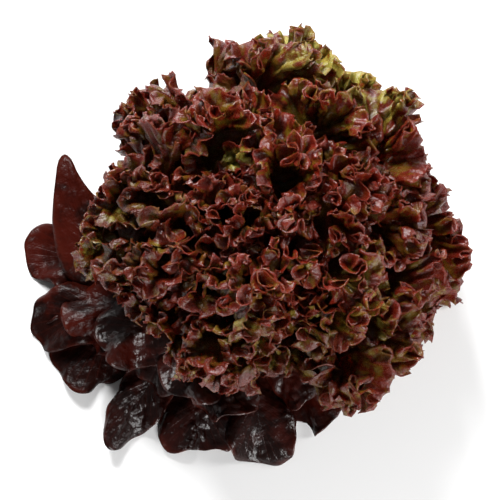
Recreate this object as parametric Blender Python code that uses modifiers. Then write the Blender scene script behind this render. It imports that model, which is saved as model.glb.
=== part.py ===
"""Red leaf lettuce, cut and set down on its stem: a frilled head, with smooth dark leaves spreading from one side.

Metres, +Z up. The origin is the middle of the cut face under the frilled head's stem.
Every leaf is a thin waved blade on a thicker midrib. Frilled leaves stand in nested bowls, one ring inside the
next, and the frilled head leans a little. Smooth leaves grow in low tiers from a smaller crown at its foot.
"""

import math
import random
from collections import namedtuple

import bmesh
import bpy
from mathutils import Vector

MM = 0.001
SEED = 11

# Frilled head: rings of leaves from the lowest skirt to the heart. Angles are in degrees.
Ring = namedtuple(
    "Ring",
    "name leaves first_deg sector_deg root_z tip_r tip_z start_deg end_deg half_waves frill rib colour",
)
RINGS = (
    Ring("skirt", 4, -27.5, 180, 13 * MM, 132 * MM, 14 * MM, -10, 26, 18, 7 * MM, 2.2 * MM, "green"),
    Ring("lower", 7, 24, 360, 22 * MM, 134 * MM, 48 * MM, 6, 24, 18, 9 * MM, 2.2 * MM, "green"),
    Ring("outer", 7, 2, 360, 28 * MM, 127 * MM, 80 * MM, 22, 28, 18, 9.5 * MM, 2.0 * MM, "red"),
    Ring("shoulder", 6, 33, 360, 34 * MM, 111 * MM, 106 * MM, 34, 40, 18, 9.5 * MM, 2.0 * MM, "red"),
    Ring("middle", 6, 5, 360, 40 * MM, 90 * MM, 127 * MM, 45, 51, 16, 9 * MM, 1.8 * MM, "red"),
    Ring("crown", 5, 30, 360, 46 * MM, 66 * MM, 142 * MM, 57, 62, 14, 9 * MM, 1.6 * MM, "red"),
    Ring("inner", 4, 0, 360, 51 * MM, 41 * MM, 152 * MM, 68, 73, 12, 8 * MM, 1.5 * MM, "red"),
    Ring("heart", 3, 50, 360, 56 * MM, 12 * MM, 155 * MM, 80, 92, 8, 5 * MM, 1.4 * MM, "red"),
)
SIDE_GAP = 2.5 * MM  # what a frilled leaf leaves free of its sector on either side
LEAF_LENGTHS = (0.93, 1.05)  # the shortest and the longest leaf of a ring, against its full length
ROUND_FROM = 0.62  # where along its length a frilled leaf starts to round off
ROUNDNESS = 2.4
FRILL_DEPTH = 38 * MM  # how far in from the margin the frill reaches
FRILL_GROWTH = 1.4  # how steeply the frill grows towards the margin
FRILL_FROM = 0.45  # where along its length a frilled leaf's edge starts to wave
FRILL_UNEVEN = 0.18  # how much one crest of the frill differs from the next
TOOTH = 3 * MM  # how far the crests of the frill stand out past its troughs

# The frilled head as a whole leans, is propped up over the smooth leaves, and wavers.
HEAD_LEAN = Vector((26 * MM, -2 * MM, 0))
HEAD_TOP = 140 * MM
HEAD_REACH = 130 * MM
OVER_SMOOTH_LEAVES = Vector((-0.6, -0.8, 0))
PROP_UP = 28 * MM
PROP_REACH = 110 * MM
WOBBLE = 4 * MM
WOBBLE_LENGTH = 24 * MM

# Where its outline departs from a round one: heading and spread in degrees, and how far it stands out there.
Lobe = namedtuple("Lobe", "heading_deg spread_deg size")
LOBES = (
    Lobe(66, 24, 20 * MM),
    Lobe(105, 9, -18 * MM),
    Lobe(130, 10, 7 * MM),
    Lobe(162, 22, -14 * MM),
    Lobe(224, 24, -44 * MM),
    Lobe(281, 17, -42 * MM),
    Lobe(341, 19, 19 * MM),
)

# Smooth leaves: heading from their own crown, how far and how high each one reaches, and how its tip bends aside.
SmoothLeaf = namedtuple("SmoothLeaf", "tier heading_deg reach half_width tip_z camber bend")
SMOOTH_LEAVES = (
    SmoothLeaf("low", 172, 142 * MM, 21 * MM, 3 * MM, 2 * MM, 0),
    SmoothLeaf("low", 212, 139 * MM, 25 * MM, 3 * MM, 3 * MM, 0),
    SmoothLeaf("low", 261, 122 * MM, 28 * MM, 3 * MM, 3 * MM, 0),
    SmoothLeaf("low", 304, 125 * MM, 19 * MM, 3 * MM, 3 * MM, 4 * MM),
    SmoothLeaf("second", 190, 141 * MM, 20 * MM, 9 * MM, 3 * MM, -3 * MM),
    SmoothLeaf("second", 237, 138 * MM, 17 * MM, 6 * MM, 3 * MM, 0),
    SmoothLeaf("second", 282, 137 * MM, 20 * MM, 7 * MM, 3 * MM, 3 * MM),
    SmoothLeaf("mid", 198, 117 * MM, 21 * MM, 20 * MM, 3 * MM, 5 * MM),
    SmoothLeaf("mid", 232, 96 * MM, 19 * MM, 20 * MM, 3 * MM, -3 * MM),
    SmoothLeaf("mid", 269, 100 * MM, 22 * MM, 20 * MM, 3 * MM, 4 * MM),
    SmoothLeaf("mid", 302, 106 * MM, 14 * MM, 20 * MM, 3 * MM, -4 * MM),
    SmoothLeaf("top", 212, 99 * MM, 24 * MM, 34 * MM, 4 * MM, 4 * MM),
    SmoothLeaf("top", 252, 92 * MM, 20 * MM, 34 * MM, 4 * MM, 3 * MM),
    SmoothLeaf("side", 160, 131 * MM, 17 * MM, 28 * MM, 3 * MM, -38 * MM),
    SmoothLeaf("side", 336, 134 * MM, 15 * MM, 24 * MM, 2 * MM, 4 * MM),
)
# Each tier of smooth leaves: height of its roots, slope at root and tip in degrees.
Tier = namedtuple("Tier", "root_z start_deg end_deg")
SMOOTH_TIERS = {
    "low": Tier(5 * MM, 5, -6),
    "second": Tier(9.5 * MM, 12, -10),
    "mid": Tier(14 * MM, 24, -8),
    "top": Tier(18 * MM, 33, -2),
    "side": Tier(16 * MM, 4, 12),
}
SMOOTH_HALF_WAVES = 10
SMOOTH_WAVE = 2.5 * MM
SMOOTH_WAVE_DEPTH = 24 * MM
SMOOTH_WAVE_FROM = 0.4
SMOOTH_UNEVEN = 0.25
SMOOTH_STALK = 2.6 * MM  # half width of the stalk
SMOOTH_WIDEST = 0.66  # where along its length a smooth leaf is widest
SMOOTH_ROUNDNESS = 2.2
SMOOTH_RIB = 2.4 * MM
BEND_GROWTH = 5

# Cut stem: two crowns grown together, each a tapered stub with a rounded top.
STEM_FOOT = 16 * MM
STEM_TOP = 6.5 * MM
STEM_HEIGHT = 60 * MM
SIDE_FOOT = 13 * MM
SIDE_TOP = 7 * MM
SIDE_HEIGHT = 22 * MM
SIDE_CENTRE = Vector((-12 * MM, -16 * MM, 0))
SIDE_LEAN = Vector((-5 * MM, -7 * MM, SIDE_HEIGHT))
STEM_SIDES = 24
DOME_STEPS = 4
QUARTER_TURN = math.radians(90)
CUT_DEPTH = 6 * MM
CUT_BLOCK = 80 * MM

# What every leaf's blade shares.
BLADE = 1.3 * MM  # thickness away from the midrib
LEAF_GAP = 0.6 * MM  # between a leaf's root and the stem
FLOOR_GAP = 0.2 * MM
FLOOR_SOFTNESS = 1.5 * MM
MARGIN_SAMPLES = 120
CALM_COLUMNS = 2  # columns of the blade next to the stem, which do not wave
BLADE_ROWS = (0.0, 0.45, 0.8, 1.0)  # from the midrib to the margin
FRILLED_VEIN_SLANT = 0.7  # where a side vein leaves the midrib, against where it ends
SMOOTH_VEIN_SLANT = 0.75
STALK_SHARE = 0.7  # how much of the midrib's thickness the whole stalk has
STALK_ENDS = 0.3
WELD = 0.01 * MM

COLOURS = {
    "red": (0.16, 0.035, 0.025, 1.0),
    "green": (0.16, 0.12, 0.03, 1.0),
    "dark": (0.035, 0.01, 0.01, 1.0),
    "stem": (0.62, 0.55, 0.36, 1.0),
}


def smoothstep(low, high, value):
    share = min(1.0, max(0.0, (value - low) / (high - low)))
    return share * share * (3 - 2 * share)


def between(value, marks, results):
    """The value's place among the marks, read off against the results in straight steps."""
    for (mark_a, mark_b), (result_a, result_b) in zip(zip(marks, marks[1:]), zip(results, results[1:])):
        if value <= mark_b:
            return result_a + (result_b - result_a) * max(0.0, value - mark_a) / (mark_b - mark_a)
    return results[-1]


def heading_vector(degrees):
    turn = math.radians(degrees)
    return Vector((math.cos(turn), math.sin(turn), 0))


def stem_radius(height):
    return STEM_FOOT + (STEM_TOP - STEM_FOOT) * height / STEM_HEIGHT


def side_radius(height):
    return SIDE_FOOT + (SIDE_TOP - SIDE_FOOT) * height / SIDE_HEIGHT


def side_axis(height):
    """Where the side crown's middle line is, level by level."""
    return SIDE_CENTRE + Vector((SIDE_LEAN.x, SIDE_LEAN.y, 0)) * (height / SIDE_HEIGHT)


def outline_shift(point):
    """How far the head's outline departs from a round one in a point's direction."""
    turn = math.degrees(math.atan2(point.y, point.x))
    shift = 0.0
    for lobe in LOBES:
        aside = (turn - lobe.heading_deg + 180) % 360 - 180
        shift += lobe.size * math.exp(-((aside / lobe.spread_deg) ** 2))
    return shift


def lean_head(point):
    """The frilled head's own bend, the same for all its leaves, so that no leaf crosses another."""
    reach = Vector((point.x, point.y, 0))
    far = smoothstep(0.25, 1, reach.length / HEAD_REACH)
    bent = point + HEAD_LEAN * smoothstep(STEM_HEIGHT, HEAD_TOP, point.z)
    bent += reach.normalized() * outline_shift(point) * far
    bent.z += PROP_UP * smoothstep(STEM_FOOT, PROP_REACH, point.dot(OVER_SMOOTH_LEAVES))
    wobble = WOBBLE * far
    bent.x += wobble * math.sin(point.y / WOBBLE_LENGTH + 0.7)
    bent.y += wobble * math.sin(point.x / WOBBLE_LENGTH + 2.1)
    bent.z += wobble * math.sin((point.x - point.y) / WOBBLE_LENGTH)
    return bent


class Meridian:
    """The line a midrib follows, seen from the side: distance out and height, from the root at 0 to the tip at 1."""

    PULL = 0.4
    SAMPLES = 20

    def __init__(self, root, tip, start_deg, end_deg):
        reach = self.PULL * math.dist(root, tip)
        start, end = math.radians(start_deg), math.radians(end_deg)
        self.knots = (
            root,
            (root[0] + reach * math.cos(start), root[1] + reach * math.sin(start)),
            (tip[0] - reach * math.cos(end), tip[1] - reach * math.sin(end)),
            tip,
        )
        points = [self.at(i / self.SAMPLES)[:2] for i in range(self.SAMPLES + 1)]
        self.length = sum(math.dist(a, b) for a, b in zip(points, points[1:]))

    def at(self, share):
        """Distance out, height and slope in radians."""
        rest = 1 - share
        place = (rest**3, 3 * rest**2 * share, 3 * rest * share**2, share**3)
        pace = (-(rest**2), rest**2 - 2 * rest * share, 2 * rest * share - share**2, share**2)
        out, up = (sum(k * knot[i] for k, knot in zip(place, self.knots)) for i in (0, 1))
        run, rise = (sum(k * knot[i] for k, knot in zip(pace, self.knots)) for i in (0, 1))
        return out, up, math.atan2(rise, run)


class Blade:
    """A leaf's sheet. Columns fan out from the midrib to the margin, and rows run along with the margin."""

    def __init__(self, length, half_width, wave_from, half_waves, vein_slant):
        self.length = length
        self.margin = [(half_width(i / MARGIN_SAMPLES), i / MARGIN_SAMPLES) for i in range(MARGIN_SAMPLES + 1)]
        self.run = [0.0]
        for (wide_a, a), (wide_b, b) in zip(self.margin, self.margin[1:]):
            self.run.append(self.run[-1] + math.hypot(wide_b - wide_a, (b - a) * length))
        self.waved_share = 1 - self.run[round(wave_from * MARGIN_SAMPLES)] / self.run[-1]
        self.columns = half_waves // 2 + CALM_COLUMNS
        self.waved_side = (half_waves // 2) / self.columns
        self.vein_slant = vein_slant

    def margin_at(self, side):
        """Half width and place along the length of the margin, for a side from 0 at the tip to 1 at the root."""
        share = between(side, (0, self.waved_side, 1), (0, self.waved_share, 1))
        distance = self.run[-1] * (1 - share)
        wide = between(distance, self.run, [w for w, _ in self.margin])
        along = between(distance, self.run, [a for _, a in self.margin])
        return wide, along

    def at(self, side, row):
        """Sideways distance, share of the length, and distance in from the margin."""
        wide, along = self.margin_at(abs(side))
        start = self.vein_slant * along
        ray = math.hypot(wide, (along - start) * self.length)
        return math.copysign(wide, side) * row, start + (along - start) * row, (1 - row) * ray

    def wave(self, side):
        """Crest and trough in turn at each waved column, from 1 to -1."""
        fade = 1 - smoothstep(self.waved_side, 1, abs(side))
        return math.cos(math.pi * self.columns * side) * fade


def settle(point, thickness):
    """Keeps a blade on the surface the lettuce lies on: what would sink below it lies flat."""
    level = thickness + FLOOR_GAP
    over = (point.z - level) / FLOOR_SOFTNESS
    rise = math.log1p(math.exp(-abs(over))) + max(0.0, over) - 0.5 * math.exp(-abs(over))
    return Vector((point.x, point.y, level + FLOOR_SOFTNESS * rise))


def rib_weight(row, along):
    """How much of the midrib's thickness the blade has at a point."""
    stalk = STALK_SHARE * (1 - smoothstep(0.0, STALK_ENDS, along))
    midrib = math.sqrt(1 - along) if row == 0 else 0.0
    return max(stalk, midrib)


def leaf_object(name, blade, place, rib, colour):
    """A leaf from a grid bent into its blade, welded along the midrib and thickened underneath."""
    sheet = bmesh.new()
    rows = len(BLADE_ROWS) - 1
    bmesh.ops.create_grid(sheet, x_segments=2 * blade.columns, y_segments=rows, size=1)
    group = sheet.verts.layers.deform.verify()
    for vertex in sheet.verts:
        side = -round(vertex.co.x * blade.columns) / blade.columns
        row = BLADE_ROWS[round((vertex.co.y + 1) / 2 * rows)]
        across, along, inset = blade.at(side, row)
        weight = rib_weight(row, along)
        vertex[group][0] = weight
        point = place(across, along, inset, row, blade.wave(side), side)
        vertex.co = settle(point, BLADE + (rib - BLADE) * weight)
    bmesh.ops.remove_doubles(sheet, verts=sheet.verts, dist=WELD)
    bmesh.ops.triangulate(sheet, faces=sheet.faces, quad_method="SHORT_EDGE")
    mesh = bpy.data.meshes.new(name)
    sheet.to_mesh(mesh)
    sheet.free()
    mesh.shade_smooth()
    leaf = bpy.data.objects.new(name, mesh)
    leaf.vertex_groups.new(name="rib")
    solid = leaf.modifiers.new("thickness", "SOLIDIFY")
    solid.thickness = rib
    solid.offset = -1
    solid.vertex_group = "rib"
    solid.thickness_vertex_group = BLADE / rib
    leaf.data.materials.append(colour)
    LETTUCE.objects.link(leaf)
    return leaf


def frilled_leaf(ring, index, colour):
    """One leaf of a ring, filling its sector from the stem to the frilled margin."""
    draw = random.Random(SEED + 100 * RINGS.index(ring) + index)
    undercut = max(0.0, -math.sin(math.radians(ring.start_deg))) * ring.rib
    root = (stem_radius(ring.root_z - ring.rib) + LEAF_GAP + undercut, ring.root_z)
    meridian = Meridian(root, (ring.tip_r, ring.tip_z), ring.start_deg, ring.end_deg)
    sector = math.radians(ring.sector_deg) / ring.leaves
    heading = math.radians(ring.first_deg) + sector * index
    stretch = draw.uniform(*LEAF_LENGTHS)
    phase = draw.uniform(0, 2 * math.pi)

    def half_width(share):
        cap = max(0.0, (share - ROUND_FROM) / (1 - ROUND_FROM))
        return (sector / 2 * meridian.at(share)[0] - SIDE_GAP) * (1 - cap**ROUNDNESS) ** (1 / ROUNDNESS)

    def place(across, along, inset, row, wave, side):
        near_margin = max(0.0, 1 - inset / FRILL_DEPTH) ** FRILL_GROWTH
        grown = near_margin * smoothstep(0, 0.4, row) * smoothstep(0.2, 0.5, along)
        tooth = TOOTH * wave * grown
        out, up, slope = meridian.at((along + tooth * along / blade.length) * stretch)
        turn = heading + across / meridian.at(along)[0]
        uneven = FRILL_UNEVEN * (math.sin(9 * side + phase) - 1)
        drift = FRILL_UNEVEN * math.sin(5 * side + 2 * phase)
        lift = ring.frill * grown * (wave * (1 + uneven) + drift)
        radius = out - lift * math.sin(slope)
        height = up + lift * math.cos(slope)
        return lean_head(Vector((radius * math.cos(turn), radius * math.sin(turn), height)))

    blade = Blade(meridian.length * stretch, half_width, FRILL_FROM, ring.half_waves, FRILLED_VEIN_SLANT)
    return leaf_object(f"{ring.name}_leaf_{index + 1}", blade, place, ring.rib, colour)


def smooth_leaf(leaf, index, colour):
    """One smooth leaf: a narrow stalk opening into a spoon of a blade with a gently waved edge."""
    tier = SMOOTH_TIERS[leaf.tier]
    crown_radius = side_radius(tier.root_z - SMOOTH_RIB) * SIDE_LEAN.length / SIDE_HEIGHT
    root = (crown_radius + LEAF_GAP, tier.root_z)
    meridian = Meridian(root, (leaf.reach, leaf.tip_z), tier.start_deg, tier.end_deg)
    forward = heading_vector(leaf.heading_deg)
    sideways = heading_vector(leaf.heading_deg + 90)
    centre = side_axis(tier.root_z)
    phase = random.Random(SEED + leaf.heading_deg).uniform(0, 2 * math.pi)

    def half_width(share):
        opened = SMOOTH_STALK + (leaf.half_width - SMOOTH_STALK) * smoothstep(0.12, SMOOTH_WIDEST, share)
        cap = max(0.0, (share - SMOOTH_WIDEST) / (1 - SMOOTH_WIDEST))
        return opened * (1 - cap**SMOOTH_ROUNDNESS) ** (1 / SMOOTH_ROUNDNESS)

    def place(across, along, inset, row, wave, side):
        out, up, slope = meridian.at(along)
        grown = max(0.0, 1 - inset / SMOOTH_WAVE_DEPTH) * smoothstep(0, 0.4, row)
        uneven = SMOOTH_UNEVEN * (math.sin(4 * side + phase) - 1)
        bow = leaf.camber * smoothstep(0.2, 0.7, along) * (across / leaf.half_width) ** 2
        lift = SMOOTH_WAVE * grown * wave * (1 + uneven) - bow
        aside = across + leaf.bend * along**BEND_GROWTH
        radius = out - lift * math.sin(slope)
        height = Vector((0, 0, up + lift * math.cos(slope)))
        return centre + forward * radius + sideways * aside + height

    blade = Blade(meridian.length, half_width, SMOOTH_WAVE_FROM, SMOOTH_HALF_WAVES, SMOOTH_VEIN_SLANT)
    return leaf_object(f"smooth_{leaf.tier}_leaf_{index + 1}", blade, place, SMOOTH_RIB, colour)


def turned_stub(name, radius_at, height):
    """A tapered stub with a domed top, its profile turned round Z. It runs below the cut, to be sliced level."""
    dome = radius_at(height)
    turns = [QUARTER_TURN * step / DOME_STEPS for step in range(1, DOME_STEPS + 1)]
    profile = [(0, height)]
    profile += [(dome * math.sin(turn), height - dome + dome * math.cos(turn)) for turn in turns]
    profile += [(radius_at(-CUT_DEPTH), -CUT_DEPTH), (0, -CUT_DEPTH)]
    outline = bmesh.new()
    points = [outline.verts.new((radius, 0, up)) for radius, up in profile]
    for pair in zip(points, points[1:]):
        outline.edges.new(pair)
    mesh = bpy.data.meshes.new(name)
    outline.to_mesh(mesh)
    outline.free()
    stub = bpy.data.objects.new(name, mesh)
    turning = stub.modifiers.new("turning", "SCREW")
    turning.steps = turning.render_steps = STEM_SIDES
    turning.use_merge_vertices = True
    turning.merge_threshold = WELD
    return stub


def guide(shape):
    """Keeps out of the model a shape that only joins or cuts."""
    shape.hide_render = True
    shape.display_type = "WIRE"
    GUIDES.objects.link(shape)
    return shape


def block_below_the_cut():
    block = bmesh.new()
    bmesh.ops.create_cube(block, size=CUT_BLOCK)
    bmesh.ops.translate(block, verts=block.verts, vec=(0, 0, -CUT_BLOCK / 2))
    mesh = bpy.data.meshes.new("below_the_cut")
    block.to_mesh(mesh)
    block.free()
    return guide(bpy.data.objects.new("below_the_cut", mesh))


def cut_stem(colour):
    """The two crowns grown together in one solid, sliced level underneath."""
    stem = turned_stub("cut_stem", stem_radius, STEM_HEIGHT)
    side = guide(turned_stub("side_crown", side_radius, SIDE_HEIGHT))
    side.location = SIDE_CENTRE
    side.rotation_euler = Vector((0, 0, 1)).rotation_difference(SIDE_LEAN).to_euler()
    for label, operation, other in (
        ("side crown", "UNION", side),
        ("level cut", "DIFFERENCE", block_below_the_cut()),
    ):
        step = stem.modifiers.new(label, "BOOLEAN")
        step.operation = operation
        step.object = other
    stem.data.materials.append(colour)
    LETTUCE.objects.link(stem)
    return stem


def material(name, colour, roughness):
    made = bpy.data.materials.new(name)
    made.use_nodes = True
    shader = made.node_tree.nodes["Principled BSDF"]
    shader.inputs["Base Color"].default_value = colour
    shader.inputs["Roughness"].default_value = roughness
    shader.inputs["Metallic"].default_value = 0.0
    return made


def collection(name):
    made = bpy.data.collections.new(name)
    bpy.context.scene.collection.children.link(made)
    return made


for old in list(bpy.data.objects):
    bpy.data.objects.remove(old)

LETTUCE = collection("red_leaf_lettuce")
GUIDES = collection("guides")

frilled_colours = {
    "red": material("frilled_red", COLOURS["red"], 0.45),
    "green": material("frilled_green", COLOURS["green"], 0.45),
}
smooth_colour = material("smooth_dark", COLOURS["dark"], 0.3)
stem_colour = material("stem_cream", COLOURS["stem"], 0.6)

cut_stem(stem_colour)
for ring in RINGS:
    for number in range(ring.leaves):
        frilled_leaf(ring, number, frilled_colours[ring.colour])
for tier in SMOOTH_TIERS:
    for number, leaf in enumerate(leaf for leaf in SMOOTH_LEAVES if leaf.tier == tier):
        smooth_leaf(leaf, number, smooth_colour)
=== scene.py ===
"""Red leaf lettuce, dressed: ruffled leaves with toothed edges, blistered smooth leaves and a cut stem."""

import logging
import math
import random
from collections.abc import Callable
from dataclasses import dataclass, field
from enum import Enum
from functools import cached_property

import bpy
import numpy as np
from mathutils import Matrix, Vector


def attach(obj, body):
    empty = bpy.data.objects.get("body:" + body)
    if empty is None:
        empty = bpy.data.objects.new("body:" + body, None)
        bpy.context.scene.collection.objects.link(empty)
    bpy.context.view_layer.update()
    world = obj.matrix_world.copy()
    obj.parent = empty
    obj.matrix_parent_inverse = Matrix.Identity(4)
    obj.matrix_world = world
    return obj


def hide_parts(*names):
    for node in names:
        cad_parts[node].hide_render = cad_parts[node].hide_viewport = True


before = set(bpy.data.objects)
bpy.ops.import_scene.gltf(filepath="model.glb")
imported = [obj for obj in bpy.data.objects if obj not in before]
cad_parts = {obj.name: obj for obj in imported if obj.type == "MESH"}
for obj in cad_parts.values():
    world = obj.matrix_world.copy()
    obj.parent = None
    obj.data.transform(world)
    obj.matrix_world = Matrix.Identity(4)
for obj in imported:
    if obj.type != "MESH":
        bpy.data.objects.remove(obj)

MM = 0.001
SEED = 11
LOG = logging.getLogger("lettuce")

# The form that every leaf follows, the same as its solid's.
SIDE_GAP = 2.5 * MM
LEAF_LENGTHS = (0.93, 1.05)
ROUND_FROM = 0.62
ROUNDNESS = 2.4
FRILL_DEPTH = 38 * MM
FRILL_GROWTH = 1.4
FRILL_FROM = 0.45
FRILL_UNEVEN = 0.18
TOOTH = 3 * MM
LEAF_GAP = 0.6 * MM
STEM_FOOT = 16 * MM
STEM_TOP = 6.5 * MM
STEM_HEIGHT = 60 * MM
CALM_COLUMNS = 2
FRILLED_VEIN_SLANT = 0.7
SMOOTH_VEIN_SLANT = 0.75

# The frilled head as a whole leans, is propped up over the smooth leaves, and wavers.
HEAD_LEAN = np.array((26 * MM, -2 * MM, 0))
HEAD_TOP = 140 * MM
HEAD_REACH = 130 * MM
OVER_SMOOTH_LEAVES = np.array((-0.6, -0.8, 0))
PROP_UP = 28 * MM
PROP_REACH = 110 * MM
LEAN_FROM = 0.25
WOBBLE = 4 * MM
WOBBLE_LENGTH = 24 * MM
WOBBLE_PHASES = (0.7, 2.1)
TINY = 1e-9


def smoothstep(low: float, high: float, value: np.ndarray) -> np.ndarray:
    """How far each value is on its way from the low mark to the high one, from 0 to 1 and eased."""
    share = np.clip((value - low) / (high - low), 0, 1)
    return share * share * (3 - 2 * share)


def unit(vectors: np.ndarray) -> np.ndarray:
    """The vectors at length 1."""
    return vectors / np.maximum(np.linalg.norm(vectors, axis=-1, keepdims=True), TINY)


class Waver:
    """A smooth random line: a few sine waves of unlike lengths, from -1 to 1, much the same all along."""

    TURNS = (1.0, 1.83, 3.1)
    SHARES = (0.5, 0.3, 0.2)

    def __init__(self, draw: random.Random, length: float) -> None:
        """Draws the phases, for a length from one swell to the next."""
        self.phases = [draw.uniform(0, 2 * math.pi) for _ in self.TURNS]
        self.length = length

    def at(self, place: np.ndarray) -> np.ndarray:
        """The line's height at each place."""
        return sum(
            share * np.sin(2 * math.pi * turn * place / self.length + phase)
            for turn, share, phase in zip(self.TURNS, self.SHARES, self.phases)
        )


@dataclass(frozen=True)
class Lobe:
    """Something that changes around the head: the heading it centres on, how far it spreads, and its size."""

    heading_deg: float
    spread_deg: float
    size: float

    def at(self, turn_deg: np.ndarray) -> np.ndarray:
        """Its size at each heading."""
        aside = (turn_deg - self.heading_deg + 180) % 360 - 180
        return self.size * np.exp(-((aside / self.spread_deg) ** 2))


# Where the head's outline departs from a round one, in millimetres, and where its frills go deeper.
OUTLINE = (
    (22, 11, -10),
    (42, 5, 12),
    (59, 6, -6),
    (65, 5, -4),
    (66, 24, 20),
    (78, 4, 4),
    (99.5, 3.5, 15),
    (107.5, 8, -27),
    (121.5, 5.5, 9),
    (136, 6, 11),
    (145, 7, -18),
    (162, 22, -14),
    (224, 24, -44),
    (281, 17, -42),
    (300, 6, 16),
    (312, 4, -3),
    (319, 4, 7),
    (340, 4, -4),
    (345, 19, 20),
    (349, 4, 5),
    (3, 4, -8),
)
LOBES = tuple(Lobe(heading, spread, size * MM) for heading, spread, size in OUTLINE)
DEEPER = (
    Lobe(32, 14, 0.35),
    Lobe(60, 32, 0.45),
    Lobe(345, 22, 0.45),
    Lobe(305, 14, 0.45),
    Lobe(140, 40, 0.5),
)


def lean_head(points: np.ndarray) -> np.ndarray:
    """The frilled head's own bend, the same for all its leaves.

    Args:
        points: Places on an upright round head.

    Returns:
        The same places on this head.
    """
    reach = points.copy()
    reach[..., 2] = 0
    distance = np.linalg.norm(reach, axis=-1)
    far = smoothstep(LEAN_FROM, 1, distance / HEAD_REACH)
    turn = np.degrees(np.arctan2(points[..., 1], points[..., 0]))
    shift = sum(lobe.at(turn) for lobe in LOBES)
    bent = points + HEAD_LEAN * smoothstep(STEM_HEIGHT, HEAD_TOP, points[..., 2])[..., None]
    bent += unit(reach) * (shift * far)[..., None]
    bent[..., 2] += PROP_UP * smoothstep(STEM_FOOT, PROP_REACH, points @ OVER_SMOOTH_LEAVES)
    wobble = WOBBLE * far
    x, y = points[..., 0] / WOBBLE_LENGTH, points[..., 1] / WOBBLE_LENGTH
    bent[..., 0] += wobble * np.sin(y + WOBBLE_PHASES[0])
    bent[..., 1] += wobble * np.sin(x + WOBBLE_PHASES[1])
    bent[..., 2] += wobble * np.sin(x - y)
    return bent


class Meridian:
    """The line a midrib follows, seen from the side, from the root at 0 to the tip at 1."""

    PULL = 0.4
    SAMPLES = 20

    def __init__(
        self, root: tuple[float, float], tip: tuple[float, float], start_deg: float, end_deg: float
    ) -> None:
        """Sets the curve's four knots.

        Args:
            root: Distance out and height where the midrib leaves the stem.
            tip: The same for the leaf's tip.
            start_deg: Slope at the root.
            end_deg: Slope at the tip.
        """
        reach = self.PULL * math.dist(root, tip)
        start, end = math.radians(start_deg), math.radians(end_deg)
        self.knots = (
            root,
            (root[0] + reach * math.cos(start), root[1] + reach * math.sin(start)),
            (tip[0] - reach * math.cos(end), tip[1] - reach * math.sin(end)),
            tip,
        )
        out, up, _ = self.at(np.linspace(0, 1, self.SAMPLES + 1))
        self.length = float(np.hypot(np.diff(out), np.diff(up)).sum())

    def at(self, share: np.ndarray) -> tuple[np.ndarray, np.ndarray, np.ndarray]:
        """Where the midrib is.

        Args:
            share: Shares of its length.

        Returns:
            Distance out, height, and slope in radians.
        """
        rest = 1 - share
        place = (rest**3, 3 * rest**2 * share, 3 * rest * share**2, share**3)
        pace = (-(rest**2), rest**2 - 2 * rest * share, 2 * rest * share - share**2, share**2)
        out, up = (sum(k * knot[i] for k, knot in zip(place, self.knots)) for i in (0, 1))
        run, rise = (sum(k * knot[i] for k, knot in zip(pace, self.knots)) for i in (0, 1))
        return out, up, np.arctan2(rise, run)


class Blade:
    """A leaf's sheet. Columns fan out from the midrib to the margin, and rows run along with the margin."""

    MARGIN_SAMPLES = 120

    def __init__(
        self,
        length: float,
        half_width: Callable[[np.ndarray], np.ndarray],
        wave_from: float,
        half_waves: int,
        vein_slant: float,
    ) -> None:
        """Measures the margin.

        Args:
            length: The midrib's length.
            half_width: Half the width at each share of the length.
            wave_from: Where along the length the margin starts to wave.
            half_waves: How many half waves the whole margin has.
            vein_slant: Where a side vein leaves the midrib, against where it ends.
        """
        self.length = length
        self.share = np.linspace(0, 1, self.MARGIN_SAMPLES + 1)
        self.wide = half_width(self.share)
        steps = np.hypot(np.diff(self.wide), np.diff(self.share) * length)
        self.run = np.concatenate([[0], np.cumsum(steps)])
        self.waved_share = 1 - self.run[round(wave_from * self.MARGIN_SAMPLES)] / self.run[-1]
        self.columns = half_waves // 2 + CALM_COLUMNS
        self.waved_side = (half_waves // 2) / self.columns
        self.vein_slant = vein_slant

    def at(self, side: np.ndarray, row: np.ndarray) -> tuple[np.ndarray, np.ndarray, np.ndarray]:
        """Where a point of the sheet is.

        Args:
            side: 0 at the tip, 1 and -1 at the root's two corners.
            row: 0 on the midrib, 1 on the margin.

        Returns:
            Sideways distance, share of the length, and distance in from the margin.
        """
        share = np.interp(np.abs(side), (0, self.waved_side, 1), (0, self.waved_share, 1))
        distance = self.run[-1] * (1 - share)
        wide = np.interp(distance, self.run, self.wide)
        along = np.interp(distance, self.run, self.share)
        start = self.vein_slant * along
        ray = np.hypot(wide, (along - start) * self.length)
        return np.sign(side) * wide * row, start + (along - start) * row, (1 - row) * ray

    def fade(self, side: np.ndarray) -> np.ndarray:
        """1 where the margin waves, down to 0 at the root."""
        return 1 - smoothstep(self.waved_side, 1, np.abs(side))

    def turn(self, side: np.ndarray) -> np.ndarray:
        """The first wave's phase: a crest at each even multiple of pi."""
        return math.pi * self.columns * side


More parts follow.
